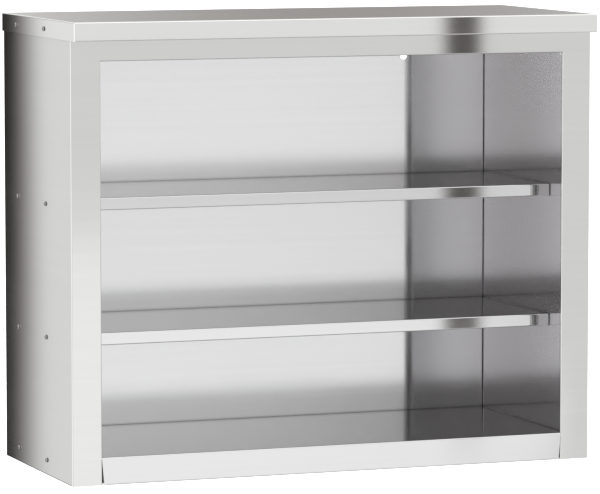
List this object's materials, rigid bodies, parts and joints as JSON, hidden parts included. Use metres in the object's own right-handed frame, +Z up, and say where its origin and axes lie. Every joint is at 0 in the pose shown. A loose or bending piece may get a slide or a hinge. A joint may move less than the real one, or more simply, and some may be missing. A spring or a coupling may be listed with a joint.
{
  "type": "open wall cabinet",
  "caption": "Open-fronted stainless cabinet with hollow sides, a skirted lid, two screw-fixed shelves and a floor with a front apron.",
  "frame": {"origin": "middle of the cabinet's footprint, on the surface that it stands on", "axes": "+X to the right as seen from the front, +Y to the back, +Z up"},
  "size_m": [0.905, 0.397, 0.739],
  "materials": {
    "casing": "brushed",
    "shelf": "brushed",
    "frame": "mill",
    "fastener": "satin"
  },
  "bodies": {
    "root": {"back_panel": "casing", "bottom_shelf": "shelf", "bottom_shelf_stiffener": "frame", "cover_stiffener": "frame", "header_rail": "casing", "left_back_rivet_1": "fastener", "left_back_rivet_2": "fastener", "left_back_rivet_3": "fastener", "left_back_rivet_4": "fastener", "left_front_bottom_shelf_nut": "fastener", "left_front_bottom_shelf_screw": "fastener", "left_front_cover_nut": "fastener", "left_front_cover_screw": "fastener", "left_front_lower_shelf_nut": "fastener", "left_front_lower_shelf_screw": "fastener", "left_front_post": "frame", "left_front_upper_shelf_nut": "fastener", "left_front_upper_shelf_screw": "fastener", "left_inner_wall": "casing", "left_rear_bottom_shelf_nut": "fastener", "left_rear_bottom_shelf_screw": "fastener", "left_rear_cover_nut": "fastener", "left_rear_cover_screw": "fastener", "left_rear_lower_shelf_nut": "fastener", "left_rear_lower_shelf_screw": "fastener", "left_rear_post": "frame", "left_rear_upper_shelf_nut": "fastener", "left_rear_upper_shelf_screw": "fastener", "left_side_panel": "casing", "lower_shelf": "shelf", "lower_shelf_stiffener": "frame", "right_back_rivet_1": "fastener", "right_back_rivet_2": "fastener", "right_back_rivet_3": "fastener", "right_back_rivet_4": "fastener", "right_front_bottom_shelf_nut": "fastener", "right_front_bottom_shelf_screw": "fastener", "right_front_cover_nut": "fastener", "right_front_cover_screw": "fastener", "right_front_lower_shelf_nut": "fastener", "right_front_lower_shelf_screw": "fastener", "right_front_post": "frame", "right_front_upper_shelf_nut": "fastener", "right_front_upper_shelf_screw": "fastener", "right_inner_wall": "casing", "right_rear_bottom_shelf_nut": "fastener", "right_rear_bottom_shelf_screw": "fastener", "right_rear_cover_nut": "fastener", "right_rear_cover_screw": "fastener", "right_rear_lower_shelf_nut": "fastener", "right_rear_lower_shelf_screw": "fastener", "right_rear_post": "frame", "right_rear_upper_shelf_nut": "fastener", "right_rear_upper_shelf_screw": "fastener", "right_side_panel": "casing", "top_cover": "casing", "upper_shelf": "shelf", "upper_shelf_stiffener": "frame"}
  },
  "joints": []
}
